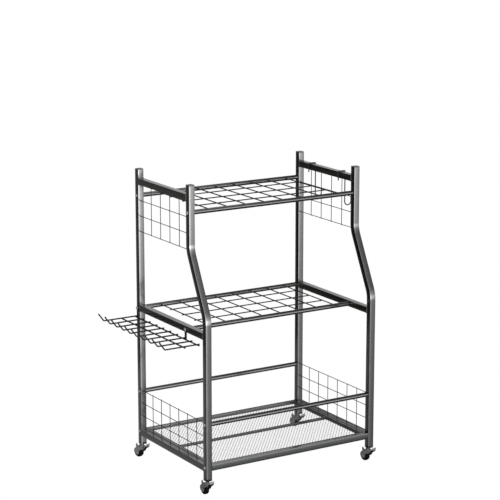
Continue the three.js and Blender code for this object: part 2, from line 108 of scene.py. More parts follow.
# Shelf grids
GRID_WIRE = 4
GRID_RISE = 4
GRID_STACK = 3.2
GRID_CROSS_WELD = (2.5, 2.5, 1.8)
DEPTH_WIRES = 8
DEPTH_WIRE_INSET = 1
CROSS_WIRES = 3
BAR_WELD = (2.8, 1.5, 2.5)
BAR_WELD_INSET = 7.7
BAR_WELD_DROP = 0.2

# Tray. Its mesh is diamonds of two bent strands: those that lean one way are flat, the others thin
TRAY_TUBE = 13
TRAY_BAR_CORNER = 1.4
TRAY_BAR_BEAD = 1.1
TRAY_BAR_OVERRUN = 0.5
DIAMOND_WIDTH = 11.9
DIAMOND_LENGTH = 14.8
STRAND_FLAT = (1.5, 0.4)
STRAND_EDGE = (0.4, 0.25)
STRAND_BOND = 1.6
STRAND_GAP = 0.1
STRAND_BENDS = (0.3, 0.7)

# Rack of hooks
RACK_WIRE = 5
RACK_PITCH = 47.3
RACK_PRONGS = 10
RACK_REACH = 126
RACK_MID_REACH = 52
RACK_STACK = 4
RACK_BEND_RADIUS = 8
RACK_TIP = (20, 27)
RACK_TAB = (12, 2.5)
RACK_DROP = 28
RACK_INSET = 18
RACK_OVERRUN = 4
RACK_WELD = (2.5, 2.5, 1.7)
TAB_BEND_RADIUS = 2.4
TAB_CORNER = 0.5
TAB_ARC_STEPS = 12

# S-hooks
HOOK_WIRE = 4
HOOK_BEND_RADIUS = 3.5
HOOK_MOUTH_RADIUS = 13
HOOK_BACK_LENGTH = 32.3
HOOK_FRONT_RISE = 16

# Bolts: the head as (radius, height, sides), from under its flange into its hexagon socket
SHANK_RADIUS = 3
HEAD_HEIGHT = 4
HEAD_PROFILE = (
    (SHANK_RADIUS, -0.02, 0), (5.4, 0, 0), (5.9, 0.25, 0), (5.9, 0.85, 0), (5.7, 1.2, 0),
    (5.35, 1.9, 0), (4.85, 2.75, 0), (4.1, 3.45, 0), (3.2, 3.85, 0), (2.75, 3.92, 0),
    (2.3, 3.75, 6), (2.2, 1.5, 6),
)

# Caster forks. Leg rows are (height, back edge, front edge), and profiles are (radius, height)
AXLE_HEIGHT = 17.78
TRAIL = 17.5
CROWN_TOP = 41
PLATE = 2.2
FORK_HALF = 10.4
FORK_BACK = -18
FORK_BACK_CURVE = 0.8
FORK_FILLET = 3.6
FILLET_STEPS = 6
FORK_COLUMNS = 8
FORK_BEVEL = 0.35
LEG_ROWS = (
    (9.9, -20.5, -14.5), (10.4, -23, -12.9), (12, -26.4, -11.6), (14.5, -29.6, -10.8),
    (17.8, -31.5, -10.4), (22, -32, -9.6), (25.5, -31.8, -7.8), (28, -31, -4), (30, -29.6, 1),
    (32.5, -27, 8), (34.5, -24.4, 11),
)
EAR = (
    (-21, 33), (-9, 39), (-8, 41), (-13.5, 43.2), (-19.5, 49.6), (-21.6, 50), (-22.6, 48),
    (-23.2, 40),
)
EAR_INSET = 0.05
RACE = (
    (7, -1), (8.8, -0.6), (9.6, -0.2), (9.7, 0.3), (9.5, 0.6), (9, 0.75), (9, 0.9), (9.4, 1.05),
    (9.2, 1.4), (8.4, 1.8), (7, 2.1), (6, 2.15),
)
STEM = (
    (4.6, 1.9), (5, 2.3), (5, 7.9), (5.4, 8.1), (5.4, 10.2), (4, 10.21), (4, 33.7), (3.4, 34.4),
)
AXLE_NUT = ((2, 0), (2, 10.3), (2.4, 10.4), (2.3, 10.9), (1.9, 11.3), (1, 11.4))
HEADINGS = {"front_left": -87, "rear_left": -70, "front_right": -80, "rear_right": -70}

# Caster wheels: profiles are (radius, depth below the flank)
WHEEL_HALF = 7
WHEEL_RADIUS = 17.75
WHEEL_SEGMENTS = 48
HUB_PROFILE = (
    (3.5, 0.2), (5.8, 0.1), (6.3, 0.4), (6.6, 1.2), (7.4, 1.5), (11.2, 1.5), (12, 1.2), (12.3, 0.5),
)
TREAD_PROFILE = (
    (12.4, 0.45), (12.8, 0.1), (14.8, 0), (16, 0.35), (17, 1.15), (17.6, 2.2), (WHEEL_RADIUS, 3.4),
)

# Brake pedals: outlines are (distance from the stem, height)
PIN_PLACE = (7, 35.5)
PIN = ((2, 0), (2, 10.4), (2.9, 10.5), (2.8, 11), (1.6, 11.4))
LEVER = (
    (3, 37.7), (11, 37.7), (13.2, 39), (13.2, 35), (11.4, 33.5), (6, 23.9), (2, 24.1), (2.4, 32),
)
PAD = ((11.6, 37.6), (20.6, 48.6), (23.6, 48.6), (24.2, 44.5), (23.2, 41.4), (13, 34.6))
SHEET = ((9.6, 37.1), (12.4, 38.4), (21.6, 49.6), (24.6, 53.9))
LIP = ((21.4, 49.4), (24.2, 53.6), (25.2, 52.4), (25.2, 46.4), (24.3, 45.4), (23.7, 48.4))
LEVER_HALF = 7.6
PAD_HALF = 8.2
LIP_HALF = 8.8
SHEET_SECTION = (1.5, 17.6, 0.5)
SHEET_BENDS = (3, 6)
RIB_SHARES = (0.2, 0.4, 0.6, 0.8)
RIB_START = (12.8, 39.6)
RIB_RUN = (8.6, 10.5)
RIB_HALF = 7.4
RIB_WIRE = 1.2
PEDAL_BEVEL = 0.3

# Studio: each band is brightness by azimuth times brightness by elevation, both in degrees. Azimuth
# 0 is the front and 90 the right. The tints are colours by the share of a turn from the back
FRONT_BAND = (
    [(-180, 0.0), (-80, 0.0), (-60, 0.8), (0, 0.8), (6, 5.0), (20, 4.0), (28, 1.1), (34, 0.85),
     (43, 0.45), (60, 0.15), (90, 0.05)],
    [(-60, 0.03), (-30, 0.05), (-20, 0.2), (-13, 0.55), (-8, 1.5), (-1, 1.7), (6, 0.65),
     (20, 0.4), (90, 0.3)],
)
REAR_BAND = (
    [(-172, 0.2), (-160, 0.22), (-150, 0.09), (-144, 0.0), (-14, 0.0), (100, 0.06), (135, 0.1),
     (165, 0.12)],
    [(-60, 0.6), (-13, 1.0), (14, 1.0), (40, 0.7), (90, 0.4)],
)
SIDE_BAND = (
    [(-128, 0.0), (-116, 0.3), (-82, 0.3), (-72, 0.0), (66, 0.0), (78, 0.3), (112, 0.3),
     (124, 0.0)],
    [(-60, 0.4), (-20, 1.0), (14, 1.0), (34, 0.0)],
)
BANDS = (FRONT_BAND, REAR_BAND, SIDE_BAND)
TINT = [(0.0, (1, 0.96, 0.92)), (0.4, (1.0, 0.92, 0.84)), (0.52, (0.97, 1, 1.0)), (0.75, (1, 1, 1))]

# Lamps, in metres and watts: place, target, size, power, and whether reflections show them. The
# camera sees none of them
LAMPS = {
    "softbox": ((1.25, -2.1, 0.75), (0, 0, 0.9), (1.4, 0.9), 0.4, True),
    "top": ((0.3, 0.2, 3.0), (0, 0, 0.5), (1.6, 1.6), 6, True),
    "fill": ((-2.6, -1.6, 0.9), (0, 0, 0.4), (1.6, 1.6), 26, False),
    "floor_glow": ((-0.35, 0.55, 0.002), (-0.35, 0.55, 1), (1.7, 1.3), 0.75, True),
    "rear_panel": ((1.12, 1.75, 1.4), (0, 0, 1.0), (1.8, 1.1), 2.6, True),
}

# Floor
FLOOR_REACH = 40
FLOOR_ROUGHNESS = 0.9
FLOOR_GLOW = 0.985

# Camera, in degrees and metres
AZIMUTH = -31.83
ELEVATION = 12.75
ROLL = 0.05
DISTANCE = 6.399
TARGET = (0.06187, 0.00173, 0.7578)
SENSOR = 36
LENS = 135.1
SHIFT = (-0.00978, -0.00486)
CLIP_END = 200


# Lines and sections


def arc_stations(corner, before, after, radius, steps):
    """The stations of an arc that rounds a corner between two directions."""
    angle = before.angle(after)
    inward = (after - before).normalized()
    centre = corner + inward * (radius / math.cos(angle / 2))
    spoke = corner - before * (radius * math.tan(angle / 2)) - centre
    axis = before.cross(after).normalized()
    stations = []
    for k in range(steps + 1):
        turn = Matrix.Rotation(angle * k / steps, 3, axis)
        stations.append((centre + turn @ spoke, turn @ before))
    return stations


def bent_line(corners, radii=(), steps=10):
    """Stations (point, direction) along a polyline whose inner corners are rounded by arcs."""
    corners = [Vector(c) for c in corners]
    legs = [(b - a).normalized() for a, b in zip(corners, corners[1:])]
    stations = [(corners[0], legs[0])]
    for i, radius in enumerate(radii, 1):
        stations += arc_stations(corners[i], legs[i - 1], legs[i], radius, steps)
    stations.append((corners[-1], legs[-1]))
    return stations


def round_section(diameter, sides):
    """A circle as a polygon."""
    angles = [2 * math.pi * i / sides for i in range(sides)]
    return [(math.cos(a) * diameter / 2, math.sin(a) * diameter / 2) for a in angles]


def square_section(size, corner, steps=5, crown=0.0):
    """A square with rounded corners. A crown draws these in, so that each side bulges a little."""
    spans = 8 if crown else 1
    points = []
    inner = size / 2 - corner - crown
    for quarter in range(4):
        start = quarter * math.pi / 2
        cos, sin = math.cos(start), math.sin(start)
        for k in range(steps + 1):
            a = math.pi / 2 * k / steps
            x = inner + corner * math.cos(a)
            y = inner + corner * math.sin(a)
            points.append(turned(x, y, cos, sin))
        for k in range(1, spans):
            along = inner * (1 - 2 * k / spans)
            bulge = crown * (1 - abs(along / inner) ** 3)
            points.append(turned(along, inner + corner + bulge, cos, sin))
    return points


def turned(x, y, cos, sin):
    """A point turned about the origin."""
    return (x * cos - y * sin, x * sin + y * cos)


def oblong_section(width, height, corner):
    """A rectangle with rounded corners."""
    steps = 2
    points = []
    for quarter, (sx, sy) in enumerate([(1, 1), (-1, 1), (-1, -1), (1, -1)]):
        for k in range(steps + 1):
            a = (quarter + k / steps) * math.pi / 2
            x = sx * (width / 2 - corner) + corner * math.cos(a)
            y = sy * (height / 2 - corner) + corner * math.sin(a)
            points.append((x, y))
    return points


# Forms


class Form:
    """Points in millimetres and faces between them. A tone is the place of a face's material."""

    def __init__(self):
        self.points = []
        self.faces = []
        self.tones = []
        self.tone = 0

    def ring(self, points):
        """Adds points and returns their places."""
        start = len(self.points)
        self.points.extend(points)
        return list(range(start, len(self.points)))

    def face(self, indices):
        self.faces.append(tuple(indices))
        self.tones.append(self.tone)

    def bridge(self, first, second):
        """Joins two rings with a band of faces."""
        for i in range(len(first)):
            j = (i + 1) % len(first)
            self.face((first[i], first[j], second[j], second[i]))

    def loft(self, rings, looped=False):
        """Joins rings of equal size, and closes both ends unless the loft is looped."""
        rings = [self.ring(points) for points in rings]
        for first, second in zip(rings, rings[1:]):
            self.bridge(first, second)
        if looped:
            self.bridge(rings[-1], rings[0])
        else:
            self.face(reversed(rings[0]))
            self.face(rings[-1])

    def sweep(self, line, section, side, tips=(), looped=False):
        """Carries a section along a line. Tips are (length, scale) pairs that narrow both ends."""
        normal = Vector(side)
        frames = []
        for point, tangent in line:
            normal = (normal - tangent * normal.dot(tangent)).normalized()
            frames.append((point, normal, tangent.cross(normal), 1))
        if tips:
            frames = tipped(line, frames, tips)
        rings = [[p + n * (a * s) + c * (b * s) for a, b in section] for p, n, c, s in frames]
        self.loft(rings, looped)

    def lathe(self, profile, base, axis, segments):
        """Turns (radius, height, sides) entries about an axis. Any sides but 0 make a polygon."""
        axis = Vector(axis).normalized()
        across = axis.orthogonal().normalized()
        other = axis.cross(across)
        rings = []
        for radius, height, sides in profile:
            ring = []
            for i in range(segments):
                a = 2 * math.pi * i / segments
                spoke = (across * math.cos(a) + other * math.sin(a)) * polygon_share(a, sides)
                ring.append(Vector(base) + axis * height + spoke * radius)
            rings.append(ring)
        self.loft(rings)

    def blob(self, centre, radii):
        """A small round weld, wider or flatter along each axis."""
        rings = 5
        segments = 8
        centre = Vector(centre)
        loops = []
        for k in range(1, rings + 1):
            up = math.pi * k / (rings + 1)
            loops.append([
                centre + Vector((
                    radii[0] * math.sin(up) * math.cos(2 * math.pi * i / segments),
                    radii[1] * math.sin(up) * math.sin(2 * math.pi * i / segments),
                    -radii[2] * math.cos(up),
                ))
                for i in range(segments)
            ])
        self.loft(loops)

    def slab(self, outline, half_width, shift=0.0):
        """An outline of (x, z) points carried from one side to the other along y."""
        ends = (shift - half_width, shift + half_width)
        self.loft([[Vector((x, y, z)) for x, z in outline] for y in ends])

    def bead(self, centre, across, up, size, corner=TUBE_CORNER, thick=BEAD_SIZE):
        """A weld bead with small ripples round the end of a square tube."""
        across, up, centre = Vector(across), Vector(up), Vector(centre)
        out = across.cross(up)
        outline = square_section(size, corner, 4)
        path = densified([centre + across * a + up * b for a, b in outline], BEAD_STEP)
        angles = [2 * math.pi * i / BEAD_SIDES for i in range(BEAD_SIDES)]
        rings = []
        for k, point in enumerate(path):
            outward = (point - centre).normalized()
            swell = thick * (1 + BEAD_RIPPLE * math.sin(k * BEAD_RIPPLE_STEP))
            rings.append([
                point + outward * (swell * math.cos(a)) + out * (swell * math.sin(a))
                for a in angles
            ])
        self.loft(rings, looped=True)

    def moved(self, matrix):
        self.points = [matrix @ Vector(p) for p in self.points]
        return self


def rounds(pairs, lift=0.0):
    """Lathe entries of round section from (radius, height) pairs."""
    return [(radius, lift + height, 0) for radius, height in pairs]


def polygon_share(angle, sides):
    """How far a polygon's edge is from its centre, as a share of its corners' distance."""
    if not sides:
        return 1
    sector = 2 * math.pi / sides
    return math.cos(sector / 2) / math.cos((angle % sector) - sector / 2)


def densified(points, step):
    """A closed loop of points with no gap wider than a step."""
    dense = []
    for a, b in zip(points, points[1:] + points[:1]):
        count = max(1, round((b - a).length / step))
        dense += [a.lerp(b, k / count) for k in range(count)]
    return dense


def tipped(line, frames, tips):
    """Adds narrowed frames at both ends of a sweep."""
    (start, first), (end, last) = line[0], line[-1]
    _, n0, c0, _ = frames[0]
    _, n1, c1, _ = frames[-1]
    head = [(start + first * length, n0, c0, scale) for length, scale in tips]
    tail = [(end - last * length, n1, c1, scale) for length, scale in reversed(tips)]
    return head + frames[1:-1] + tail


def wire_tips(diameter):
    """How a wire's ends narrow."""
    return [(0, 0.72), (diameter * 0.06, 0.9), (diameter * 0.16, 1)]


def rod(form, start, end, diameter, sides=16):
    """A straight round bar or wire."""
    line = bent_line([start, end])
    side = line[0][1].orthogonal()
    form.sweep(line, round_section(diameter, sides), side, wire_tips(diameter))


# Objects


def box(node):
    """The low and high corners of a CAD node, in millimetres."""
    low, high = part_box(node)
    return low / MM, high / MM


def middle(node):
    low, high = box(node)
    return (low + high) / 2


def to_object(name, form, materials, bevel):
    """Makes a smooth-shaded object of a form, with its sharp edges bevelled if asked."""
    mesh = bpy.data.meshes.new(name)
    mesh.from_pydata([Vector(p) * MM for p in form.points], [], form.faces)
    for material in materials:
        mesh.materials.append(material)
    mesh.polygons.foreach_set("material_index", form.tones)
    work = bmesh.new()
    work.from_mesh(mesh)
    bmesh.ops.recalc_face_normals(work, faces=work.faces)
    work.to_mesh(mesh)
    work.free()
    mesh.polygons.foreach_set("use_smooth", [True] * len(mesh.polygons))
    mesh.set_sharp_from_angle(angle=math.radians(SHARP_ANGLE))
    piece = bpy.data.objects.new(name, mesh)
    bpy.context.scene.collection.objects.link(piece)
    if bevel:
        cut = piece.modifiers.new("edges", "BEVEL")
        cut.width = bevel * MM
        cut.segments = 2
        cut.limit_method = "ANGLE"
        cut.angle_limit = math.radians(BEVEL_ANGLE)
    smooth = piece.modifiers.new("shading", "WEIGHTED_NORMAL")
    smooth.keep_sharp = True
    return piece


def add_piece(node, form, body, materials, bevel=0.0):
    """Makes the piece that stands for a CAD node."""
    piece = to_object(f"{node}_form", form, materials, bevel)
    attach(piece, body)
    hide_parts(node)


# Materials


def ramp_node(tree, source, stops):
    """A ramp of colours between (position, colour) stops. A single number stands for a grey."""
    node = tree.nodes.new("ShaderNodeValToRGB")
    elements = node.color_ramp.elements
    while len(elements) < len(stops):
        elements.new(0.5)
    for element, (position, color) in zip(elements, stops):
        element.position = position
        element.color = (*color, 1) if isinstance(color, tuple) else (color, color, color, 1)
    tree.links.new(source, node.inputs["Fac"])
    return node.outputs["Color"]


class Coat:
    """A principled material whose colour, roughness and bump vary with noise."""

    def __init__(self, name, metallic, specular=0.5):
        self.material = bpy.data.materials.new(name)
        self.material.use_nodes = True
        self.tree = self.material.node_tree
        self.shader = self.tree.nodes["Principled BSDF"]
        self.shader.inputs["Metallic"].default_value = metallic
        self.shader.inputs["Specular IOR Level"].default_value = specular
        place = self.tree.nodes.new("ShaderNodeTexCoord")
        self.place = place.outputs["Object"]

    def noise(self, scale, detail):
        """Noise over the object's own coordinates."""
        node = self.tree.nodes.new("ShaderNodeTexNoise")
        node.inputs["Scale"].default_value = scale
        node.inputs["Detail"].default_value = detail
        self.tree.links.new(self.place, node.inputs["Vector"])
        return node.outputs["Fac"]

    def color(self, source, *stops):
        """Colours the coat by a source between stops."""
        color = ramp_node(self.tree, source, stops)
        self.tree.links.new(color, self.shader.inputs["Base Color"])

    def roughness(self, source, low, high):
        """Spreads the middle of a noise over a range of roughness."""
        node = self.tree.nodes.new("ShaderNodeMapRange")
        node.inputs["From Min"].default_value = 0.3
        node.inputs["From Max"].default_value = 0.7
        node.inputs["To Min"].default_value = low
        node.inputs["To Max"].default_value = high
        self.tree.links.new(source, node.inputs["Value"])
        self.tree.links.new(node.outputs["Result"], self.shader.inputs["Roughness"])

    def bump(self, source, depth, strength):
        """Raises the surface by a source, to a depth in metres."""
        node = self.tree.nodes.new("ShaderNodeBump")
        node.inputs["Strength"].default_value = strength
        node.inputs["Distance"].default_value = depth
        self.tree.links.new(source, node.inputs["Height"])
        self.tree.links.new(node.outputs["Normal"], self.shader.inputs["Normal"])


def frame_coat():
    """Dark pewter powder coat with a fine orange peel."""
    coat = Coat("frame_coat", metallic=1.0)
    coat.color(coat.noise(38, 4), (0.3, 0.3), (0.7, 0.33))
    coat.roughness(coat.noise(260, 3), 0.14, 0.17)
    coat.bump(coat.noise(900, 2), 0.00004, 0.03)
    return coat.material


def wire_coat():
    """The same coat on wire, a little darker."""
    coat = Coat("wire_coat", metallic=0.5)
    coat.color(coat.noise(60, 4), (0.3, 0.045), (0.7, 0.07))
    coat.roughness(coat.noise(300, 3), 0.3, 0.45)
    coat.bump(coat.noise(1200, 2), 0.0001, 0.3)
    return coat.material


def mesh_coat():
    """Coated expanded mesh."""
    coat = Coat("mesh_coat", metallic=0.6)
    coat.color(coat.noise(80, 4), (0.3, 0.2), (0.7, 0.28))
    coat.roughness(coat.noise(400, 3), 0.35, 0.5)
    coat.bump(coat.noise(1500, 2), 0.00006, 0.25)
    return coat.material


def zinc():
    """Zinc-plated pressed steel, mottled and lightly brushed."""
    coat = Coat("zinc", metallic=0.5)
    coat.color(coat.noise(140, 5), (0.25, (0.27, 0.28, 0.29)), (0.75, (0.4, 0.41, 0.42)))
    coat.roughness(coat.noise(420, 4), 0.3, 0.45)
    coat.bump(coat.noise(1400, 3), 0.00008, 0.4)
    return coat.material


def bright_bolt():
    """Brighter zinc on the bolts and the pressed pedals."""
    coat = Coat("bright_bolt", metallic=0.25)
    coat.color(coat.noise(300, 4), (0.3, (0.5, 0.51, 0.52)), (0.7, (0.6, 0.61, 0.62)))
    coat.roughness(coat.noise(700, 3), 0.16, 0.3)
    coat.bump(coat.noise(2500, 2), 0.00003, 0.3)
    return coat.material


def plain_dark(name, low, high, rough, fine):
    """Black rubber or plastic with a fine moulded grain."""
    coat = Coat(name, metallic=0.0, specular=0.15)
    coat.color(coat.noise(120, 4), (0.3, low), (0.7, high))
    coat.roughness(coat.noise(350, 3), *rough)
    coat.bump(coat.noise(fine, 3), 0.00015, 0.35)
    return coat.material


def cap_coat():
    """Pewter grey plastic with a faint sheen, to match the tubes."""
    coat = Coat("cap_plastic", metallic=0.45)
    coat.color(coat.noise(90, 4), (0.3, 0.25), (0.7, 0.3))
    coat.roughness(coat.noise(300, 3), 0.3, 0.42)
    coat.bump(coat.noise(1600, 2), 0.00005, 0.3)
    return coat.material


FRAME_COAT = frame_coat()
WIRE_COAT = wire_coat()
MESH_COAT = mesh_coat()
ZINC = zinc()
BOLT = bright_bolt()
RUBBER = plain_dark("rubber", 0.003, 0.006, (0.5, 0.7), 900)
HUB = plain_dark("hub_plastic", 0.007, 0.013, (0.35, 0.5), 1400)
CAP = cap_coat()


# Side frames


def square_tube(form, corners, size, radii=(), side=(1, 0, 0)):
    """A square tube along a line, with its cut ends lightly rounded."""
    tips = [(0, 1 - TUBE_BEVEL / size), (TUBE_BEVEL / 2, 1)]
    section = square_section(size, TUBE_CORNER, crown=size * TUBE_CROWN_SHARE)
    form.sweep(bent_line(corners, radii, TUBE_BEND_STEPS), section, side, tips)


def rear_post(side):
    """A straight post."""
    node = f"rear_post_{side}"
    low, high = box(node)
    centre = (low + high) / 2
    form = Form()
    square_tube(form, [(centre.x, centre.y, low.z), (centre.x, centre.y, high.z)], high.x - low.x)
    add_piece(node, form, "frame", [FRAME_COAT])


def front_post(side):
    """A post bent back twice, from its foot towards the narrower top."""
    node = f"front_post_{side}"
    low, high = box(node)
    x = (low.x + high.x) / 2
    size = high.x - low.x
    foot = low.y + size / 2
    top = high.y - size / 2
    form = Form()
    square_tube(form, [
        (x, foot, low.z),
        (x, foot, LOWER_BEND_HEIGHT),
        (x, top, UPPER_BEND_HEIGHT),
        (x, top, high.z),
    ], size, (POST_BEND_RADIUS, POST_BEND_RADIUS))
    add_piece(node, form, "frame", [FRAME_COAT])


def side_rail(node):
    """A rail between two posts, with a weld bead at each end."""
    low, high = box(node)
    centre = (low + high) / 2
    size = high.x - low.x
    form = Form()
    ends = (low.y - WELD_GAP / 2, high.y + WELD_GAP / 2)
    square_tube(form, [(centre.x, ends[0], centre.z), (centre.x, ends[1], centre.z)], size)
    for y in ends:
        form.bead((centre.x, y, centre.z), (1, 0, 0), (0, 0, 1), size - RAIL_BEAD_INSET)
    add_piece(node, form, "frame", [FRAME_COAT])


def wire_panel(node, side, rows, uprights, closed_top):
    """Level wires between the posts with uprights welded on their inner side."""
    low, high = box(node)
    x = middle(f"rear_post_{side}").x
    inward = 1 if side == "left" else -1
    form = Form()
    for z in rows:
        rod(form, (x, low.y - PANEL_OVERRUN_FRONT, z), (x, high.y + PANEL_OVERRUN_REAR, z),
            PANEL_WIRE)
        form.blob((x, high.y, z), PANEL_END_WELD)
        form.blob((x, low.y, z), PANEL_END_WELD)
    count, pitch = uprights
    centre = (low.y + high.y) / 2
    stack = x + inward * PANEL_STACK
    foot = low.z if closed_top else low.z - UPRIGHT_OVERRUN
    top = high.z + UPRIGHT_OVERRUN if closed_top else high.z
    weld = top - UPRIGHT_WELD_INSET if closed_top else foot + UPRIGHT_WELD_INSET
    for i in range(count):
        y = centre + (i - (count - 1) / 2) * pitch
        rod(form, (stack, y, foot), (stack, y, top), PANEL_WIRE)
        form.blob((stack, y, weld), UPRIGHT_WELD)
        for z in rows:
            form.blob((x + inward * PANEL_STACK / 2, y, z), PANEL_CROSS_WELD)
    add_piece(node, form, "frame", [WIRE_COAT])


def post_cap(node):
    """A plastic plug with a rounded lip over the end of the tube."""
    low, high = box(node)
    centre = (low + high) / 2
    size = high.x - low.x
    levels = [(low.z + rise, width) for rise, width in CAP_PLUG]
    levels.append((high.z - CAP_NECK[0], CAP_NECK[1]))
    levels += [(high.z - drop, size - narrowing) for drop, narrowing in CAP_LIP]
    rings = []
    for z, width in levels:
        section = square_section(width, CAP_CORNER)
        rings.append([Vector((centre.x + a, centre.y + b, z)) for a, b in section])
    form = Form()
    form.loft(rings)
    add_piece(node, form, "frame", [CAP])


def side_frames():
    for side in SIDES:
        rear_post(side)
        front_post(side)
        for level in ("top", "mid", "bottom"):
            side_rail(f"{level}_rail_{side}")
        wire_panel(f"upper_panel_{side}", side, UPPER_ROWS, UPPER_UPRIGHTS, True)
        wire_panel(f"lower_panel_{side}", side, LOWER_ROWS, LOWER_UPRIGHTS, False)
        post_cap(f"rear_cap_{side}")
        post_cap(f"front_cap_{side}")


# Shelves and guard bars


def cross_bar(node):
    """A round bar between the side frames."""
    low, high = box(node)
    centre = (low + high) / 2
    form = Form()
    ends = (low.x - WELD_GAP / 2, high.x + WELD_GAP / 2)
    rod(form, (ends[0], centre.y, centre.z), (ends[1], centre.y, centre.z), BAR, BAR_SIDES)
    add_piece(node, form, "frame", [FRAME_COAT])


def shelf_grid(level):
    """Depth wires welded into the two bars, with cross wires under them."""
    node = f"{level}_shelf_grid"
    low, high = box(node)
    rear = middle(f"{level}_shelf_rear_bar")
    front = middle(f"{level}_shelf_front_bar")
    upper = rear.z + GRID_RISE
    lower = upper - GRID_STACK
    posts = [middle(f"rear_post_{side}").x for side in SIDES]
    pitch = (posts[1] - posts[0]) / (DEPTH_WIRES + 1)
    depth = rear.y - front.y
    rows = [rear.y - depth * k / (CROSS_WIRES + 1) for k in range(1, CROSS_WIRES + 1)]
    form = Form()
    for y in rows:
        rod(form, (low.x, y, lower), (high.x, y, lower), GRID_WIRE)
    for i in range(1, DEPTH_WIRES + 1):
        x = posts[0] + i * pitch
        rod(form, (x, front.y + DEPTH_WIRE_INSET, upper), (x, rear.y - DEPTH_WIRE_INSET, upper),
            GRID_WIRE)
        for y in (front.y + BAR_WELD_INSET, rear.y - BAR_WELD_INSET):
            form.blob((x, y, upper - BAR_WELD_DROP), BAR_WELD)
        for y in rows:
            form.blob((x, y, (upper + lower) / 2), GRID_CROSS_WELD)
    add_piece(node, form, "frame", [WIRE_COAT])


def shelves():
    for level in ("top", "mid"):
        cross_bar(f"{level}_shelf_rear_bar")
        cross_bar(f"{level}_shelf_front_bar")
        shelf_grid(level)
    cross_bar("rear_guard_bar")
    cross_bar("front_guard_bar")


# Tray


def tray_ring():
    """A front member as thick as the posts, and three thin ones as high as the bottom rails."""
    low, high = box("tray_frame")
    size = high.z - low.z
    thin = TRAY_TUBE / 2
    front = low.y + size / 2
    rear = high.y - thin
    z = box("bottom_rail_left")[1].z - thin
    middle_z = (low.z + high.z) / 2
    across = (0, 1, 0)
    form = Form()
    square_tube(form, [(low.x, front, middle_z), (high.x, front, middle_z)], size, side=across)
    square_tube(form, [(low.x, rear, z), (high.x, rear, z)], TRAY_TUBE, side=across)
    ends = (front + size / 2, high.y - TRAY_TUBE)
    for x in (low.x + thin, high.x - thin):
        square_tube(form, [(x, ends[0], z), (x, ends[1], z)], TRAY_TUBE)
        for y in ends:
            form.bead((x, y, z), (1, 0, 0), (0, 0, 1), TRAY_TUBE - TRAY_BEAD_INSET)
    add_piece("tray_frame", form, "frame", [FRAME_COAT])


def tray_bar():
    """The support bar across the middle, welded to the ring at both ends."""
    low, high = box("tray_centre_bar")
    centre = (low + high) / 2
    size = high.z - low.z
    ends = (low.x - TRAY_BAR_OVERRUN, high.x + TRAY_BAR_OVERRUN)
    line = bent_line([(x, centre.y, centre.z) for x in ends])
    form = Form()
    form.sweep(line, square_section(size, TRAY_BAR_CORNER), (0, 1, 0))
    for x in (low.x, high.x):
        form.bead((x, centre.y, centre.z), (0, 1, 0), (0, 0, 1), size, TRAY_BAR_CORNER,
                  TRAY_BAR_BEAD)
    add_piece("tray_centre_bar", form, "frame", [FRAME_COAT])


def strand(form, x, reach, start, rows, height):
    """One bent strand of the mesh. It leans to one side in one row and back in the next."""
    half = DIAMOND_LENGTH / 2
    stations = []
    for k in range(rows + 1):
        at = x + (reach if k % 2 else 0)
        across = reach if k % 2 == 0 else -reach
        for step in (-STRAND_BOND / 2, STRAND_BOND / 2):
            stations.append((at, start + k * half + step, STRAND_FLAT if step < 0 else STRAND_EDGE))
        if k == rows:
            break
        size = STRAND_FLAT if across > 0 else STRAND_EDGE
        for share in STRAND_BENDS:
            stations.append((at + across * share, start + (k + share) * half, size))
    rings = []
    for at, y, (width, thick) in stations:
        rings.append([
            Vector((at + a * width / 2, y, height + b * thick / 2))
            for a, b in ((-1, -1), (1, -1), (1, 1), (-1, 1))
        ])
    form.loft(rings)


def tray_mesh():
    """Expanded mesh: neighbouring strands lean together and apart, and touch at the bonds."""
    low, high = box("tray_mesh")
    height = (low.z + high.z) / 2
    width = high.x - low.x
    columns = round(width / DIAMOND_WIDTH)
    pitch = width / columns
    rows = round((high.y - low.y) / (DIAMOND_LENGTH / 2)) - 1
    start = low.y + ((high.y - low.y) - rows * DIAMOND_LENGTH / 2) / 2
    edge = STRAND_FLAT[0] / 2
    margin = edge / 2 + STRAND_GAP
    reach = pitch / 2 - edge
    form = Form()
    for i in range(columns):
        left = low.x + i * pitch
        strand(form, left + margin, reach, start, rows, height)
        strand(form, left + pitch - margin, -reach, start, rows, height)
    add_piece("tray_mesh", form, "frame", [MESH_COAT])


def tray():
    tray_ring()
    tray_bar()
    tray_mesh()


# Bolts


def bolt(node, outward):
    """A button head with a flange and a hexagon socket, on a shank."""
    low, high = box(node)
    centre = (low + high) / 2
    face = low.x + HEAD_HEIGHT if outward < 0 else high.x - HEAD_HEIGHT
    tip = high.x if outward < 0 else low.x
    profile = [(SHANK_RADIUS, -abs(face - tip), 0), *HEAD_PROFILE]
    form = Form()
    form.lathe(profile, (face, centre.y, centre.z), (outward, 0, 0), 36)
    add_piece(node, form, "frame", [BOLT])


def bolts():
    places = [f"{level}_shelf_{end}" for level in ("top", "mid") for end in ("rear", "front")]
    places += ["guard_front", "guard_rear", "tray_front", "tray_rear"]
    for side, outward in zip(SIDES, (-1, 1)):
        for place in places:
            bolt(f"bolt_{place}_{side}", outward)


# Rack of hooks and S-hooks


